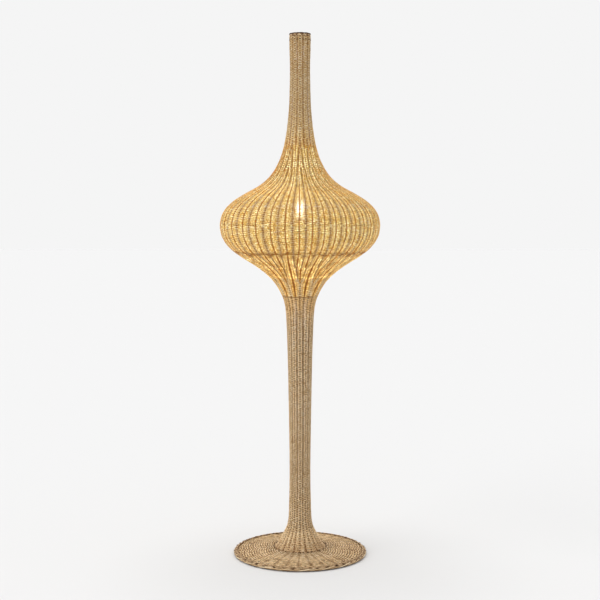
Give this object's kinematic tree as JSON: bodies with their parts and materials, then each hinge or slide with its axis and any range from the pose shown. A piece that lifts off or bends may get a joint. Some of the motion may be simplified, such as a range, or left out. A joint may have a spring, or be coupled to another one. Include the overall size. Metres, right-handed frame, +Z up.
{
  "type": "rattan floor lamp",
  "caption": "Tall woven rattan floor lamp: a flared round foot, a slender column and a lift-off bulb-shaped shade that tapers into a long open neck.",
  "frame": {"origin": "on the floor, at the centre of the round foot", "axes": "+Z up along the lamp; -Y towards the viewer of the picture, with the lead-in bush at the back on +Y"},
  "size_m": [0.5524, 0.5524, 1.8],
  "materials": {
    "rattan": "natural woven rattan, unvarnished",
    "lit_rattan": "natural woven rattan, thin enough to glow from inside",
    "cane": "braided rattan border",
    "black_steel": "black powder coat",
    "zinc_steel": "zinc plated",
    "rubber": "matt black",
    "holder_plastic": "black phenolic",
    "ceramic": "glazed ceramic",
    "brass": "plain brass",
    "opal_glass": "opal",
    "lit_phosphor": "luminous column, lit"
  },
  "bodies": {
    "stand": {"weight_plate": "black_steel", "foot_1": "rubber", "foot_2": "rubber", "foot_3": "rubber", "foot_4": "rubber", "foot_weave": "rattan", "rim_border": "cane", "lead_bush": "rubber", "foot_frame": "black_steel", "column_weave": "rattan", "column_frame": "black_steel", "waist_plate": "black_steel", "tube_flange": "black_steel", "centre_tube": "zinc_steel", "tube_cap": "zinc_steel", "holder_nipple": "zinc_steel", "lock_nut": "zinc_steel", "holder_cap": "holder_plastic", "holder_body": "holder_plastic", "holder_ring": "holder_plastic", "contact_block": "ceramic", "screw_shell": "brass", "centre_contact": "brass"},
    "shade": {"shade_seat_ring": "black_steel", "shade_frame": "black_steel", "shade_throat_weave": "lit_rattan", "shade_lower_weave": "lit_rattan", "shade_upper_weave": "lit_rattan", "neck_weave": "rattan", "top_border": "cane"},
    "bulb": {"bulb_contact": "zinc_steel", "bulb_insulator": "holder_plastic", "bulb_base": "zinc_steel", "bulb_glass": "opal_glass", "light_column": "lit_phosphor"}
  },
  "joints": [
    {"name": "shade_lift", "type": "slide", "parent": "stand", "child": "shade", "axis": [0, 0, 1], "range_m": [0, 0.36]},
    {"name": "bulb_turn", "type": "hinge", "parent": "stand", "child": "bulb", "pos_m": [0, 0, 1.12], "axis": [0, 0, 1], "range_deg": [0, 1080]}
  ]
}
